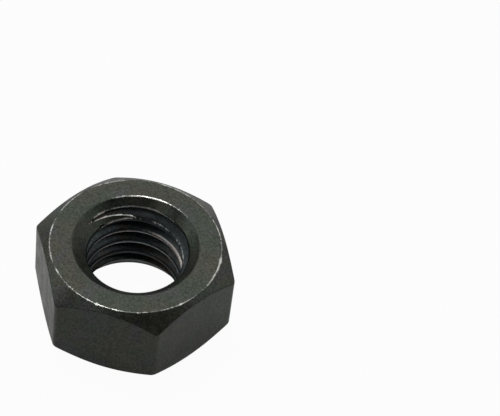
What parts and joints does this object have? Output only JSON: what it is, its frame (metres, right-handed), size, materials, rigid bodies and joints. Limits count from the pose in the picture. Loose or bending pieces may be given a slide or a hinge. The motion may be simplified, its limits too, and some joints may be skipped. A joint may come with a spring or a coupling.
{
  "type": "hex nut",
  "caption": "Plain hexagon nut in black-oxide steel, chamfered on both ends, with a countersunk through hole and a real right-hand metric thread.",
  "frame": {"origin": "centre of the bottom bearing face", "axes": "+Z along the thread axis towards the face with the wide chamfer circle, +X towards a corner of the hexagon"},
  "size_m": [0.0184, 0.016, 0.0089],
  "materials": {
    "black_oxide_steel": "black oxide, semi-gloss, bare metal showing along worn edges"
  },
  "bodies": {
    "root": {"nut_body": "black_oxide_steel"}
  },
  "joints": []
}
